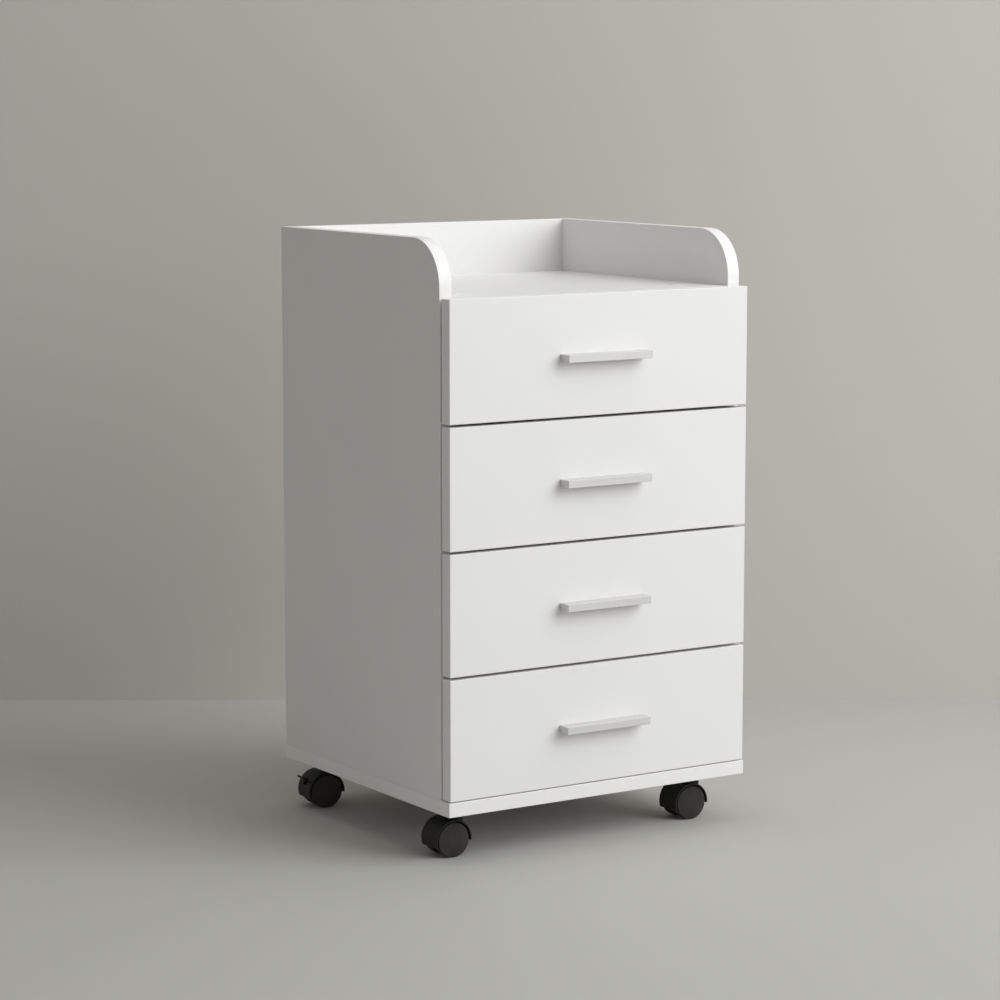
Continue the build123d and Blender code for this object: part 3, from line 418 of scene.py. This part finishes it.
def wheel(name, material):
    """A turned wheel in place of the CAD node, with an even mesh over its domed disc."""
    joint = next(j for j in frame["joints"] if j["child"] == name)
    axis = Vector(joint["axis"]).normalized()
    centre = Vector(joint["pos_m"])
    spans = [(v.co - centre).dot(axis) for v in frame["nodes"][name].data.vertices]
    outward = axis if max(spans) > -min(spans) else -axis
    reaches = sorted(abs(span) for span in spans)
    low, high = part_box(name)
    profile = wheel_profile((high.z - low.z) / 2, reaches[0], reaches[-1])
    up = Vector((0.0, 0.0, 1.0))
    side = outward.cross(up)
    vertices = []
    rings = []
    for r, along in profile:
        first = len(vertices)
        count = 1 if r < ON_AXIS else WHEEL_TURNS
        for step in range(count):
            turn = 2 * math.pi * step / WHEEL_TURNS
            spoke = side * math.cos(turn) + up * math.sin(turn)
            vertices.append(centre + outward * along + spoke * r)
        rings.append(range(first, first + count))
    faces = []
    for near, far in zip(rings, rings[1:]):
        for step in range(WHEEL_TURNS):
            after = (step + 1) % WHEEL_TURNS
            near_pair = [near[step % len(near)], near[after % len(near)]]
            far_pair = [far[after % len(far)], far[step % len(far)]]
            corners = near_pair + far_pair
            faces.append(list(dict.fromkeys(corners)))
    mesh = bpy.data.meshes.new(name + "_turned")
    mesh.from_pydata(vertices, [], faces)
    mesh.materials.append(material)
    mesh.shade_smooth()
    mesh.set_sharp_from_angle(angle=SHARP_ANGLE)
    piece = bpy.data.objects.new(name + "_turned", mesh)
    bpy.context.scene.collection.objects.link(piece)
    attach(piece, name)
    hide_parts(name)


CASTERS = ("fl", "fr", "rl", "rr")
BRAKED = ("rl", "rr")


def finish_hardware():
    paint([f"drawer_{n}_handle" for n in DRAWERS], handle_finish())
    white_plastic = moulded("runner_plastic", grey(0.70, 0.03), grey(0.76, 0.03), 0.42)
    paint(["drawer_runners", "cover_caps"], white_plastic)
    zinc = metal("bright_zinc", rgb(0.42, 0.43, 0.45), rgb(0.58, 0.59, 0.60), 0.32)
    paint([f"drawer_{n}_fasteners" for n in DRAWERS], zinc)
    paint(["chipboard_screws", "confirmat_screws"], zinc)
    paint(["cam_fittings"], metal("cast_zinc", grey(0.36), grey(0.50), 0.48, scale=900.0))
    paint(["wooden_dowels"], beech())
    drawn = (0.08, 1.0, 1.0)
    steel = metal("plated_steel", rgb(0.40, 0.41, 0.42), rgb(0.55, 0.56, 0.57), 0.36, brushed=drawn)
    paint(["caster_plates", "caster_kingpins"] + [f"caster_{c}_axle" for c in CASTERS], steel)
    nylon = moulded("hood_nylon", grey(0.008, 0.08), grey(0.014, 0.08), 0.46, scuff=0.03, shine=0.30)
    paint([f"caster_{c}_hood" for c in CASTERS], nylon)
    paint([f"caster_{c}_brake_lever" for c in BRAKED], nylon)
    tread = moulded("wheel_nylon", grey(0.027, 0.10), grey(0.042, 0.10), 0.55, 1100.0, 0.05, 0.08, 0.25)
    for corner in CASTERS:
        for place in ("front", "rear"):
            wheel(f"caster_{corner}_wheel_{place}", tread)


# ---------------------------------------------------------------- stage
WALL_DISTANCE = 4.14
FLOOR_HALF = 6.0
WALL_HEIGHT = 4.0
FLOOR_COLOUR = (0.48, 0.475, 0.455, 1.0)
WALL_COLOUR = (0.575, 0.565, 0.525, 1.0)
STAGE_SHINE = 0.2


def stage_plane(name, corners, material):
    mesh = bpy.data.meshes.new(name)
    mesh.from_pydata(corners, [], [(0, 1, 2, 3)])
    mesh.materials.append(material)
    plane = bpy.data.objects.new(name, mesh)
    bpy.context.scene.collection.objects.link(plane)


def plain(name, colour, roughness):
    s = Shader(name)
    tone = s.spread(s.noise(1.2, 2.0), 0.3, 0.7)
    darker = tuple(c * 0.985 for c in colour[:3]) + (1.0,)
    s.put(s.mix(tone, darker, colour), s.surface.inputs["Base Color"])
    s.surface.inputs["Roughness"].default_value = roughness
    s.surface.inputs["Specular IOR Level"].default_value = STAGE_SHINE
    s.one_sided()
    return s.material


def make_stage():
    along = Vector((math.sin(CAMERA_YAW), math.cos(CAMERA_YAW), 0.0))
    across = Vector((math.cos(CAMERA_YAW), -math.sin(CAMERA_YAW), 0.0))
    foot = Vector((CAMERA_PLACE.x, CAMERA_PLACE.y, 0.0)) + along * WALL_DISTANCE
    left = foot - across * FLOOR_HALF
    right = foot + across * FLOOR_HALF
    near = -along * 2 * FLOOR_HALF
    floor = [left + near, right + near, right, left]
    stage_plane("floor", floor, plain("floor", FLOOR_COLOUR, 0.7))
    up = Vector((0, 0, WALL_HEIGHT))
    wall = [left, right, right + up, left + up]
    stage_plane("wall", wall, plain("wall", WALL_COLOUR, 0.8))


# ---------------------------------------------------------------- light
ROOM_COLOUR = (1.0, 0.996, 0.955, 1.0)
ROOM_STRENGTH = 0.33
LAMP_COLOUR = (0.985, 0.995, 1.0)
KEY_PLACE = (2.0, -2.9, 2.3)
KEY_TARGET = (0.0, 0.0, 0.35)
KEY_SIZE = (3.2, 3.2)
KEY_POWER = 137.0
OVERHEAD_PLACE = (0.3, -0.2, 3.2)
OVERHEAD_TARGET = (0.0, 0.0, 0.6)
OVERHEAD_SIZE = (2.4, 2.4)
OVERHEAD_POWER = 22.0


def area_light(name, place, target, size, power):
    data = bpy.data.lights.new(name, "AREA")
    data.shape = "RECTANGLE"
    data.size, data.size_y = size
    data.energy = power
    data.color = LAMP_COLOUR
    lamp = bpy.data.objects.new(name, data)
    lamp.location = place
    lamp.rotation_euler = (Vector(target) - Vector(place)).to_track_quat("-Z", "Y").to_euler()
    bpy.context.scene.collection.objects.link(lamp)


def make_lights():
    world = bpy.data.worlds.new("room")
    world.use_nodes = True
    background = world.node_tree.nodes["Background"]
    background.inputs["Color"].default_value = ROOM_COLOUR
    background.inputs["Strength"].default_value = ROOM_STRENGTH
    bpy.context.scene.world = world
    bpy.context.scene.view_settings.view_transform = "Standard"
    area_light("key", KEY_PLACE, KEY_TARGET, KEY_SIZE, KEY_POWER)
    area_light("overhead", OVERHEAD_PLACE, OVERHEAD_TARGET, OVERHEAD_SIZE, OVERHEAD_POWER)


make_camera()
make_stage()
make_lights()
finish_boards()
finish_hardware()
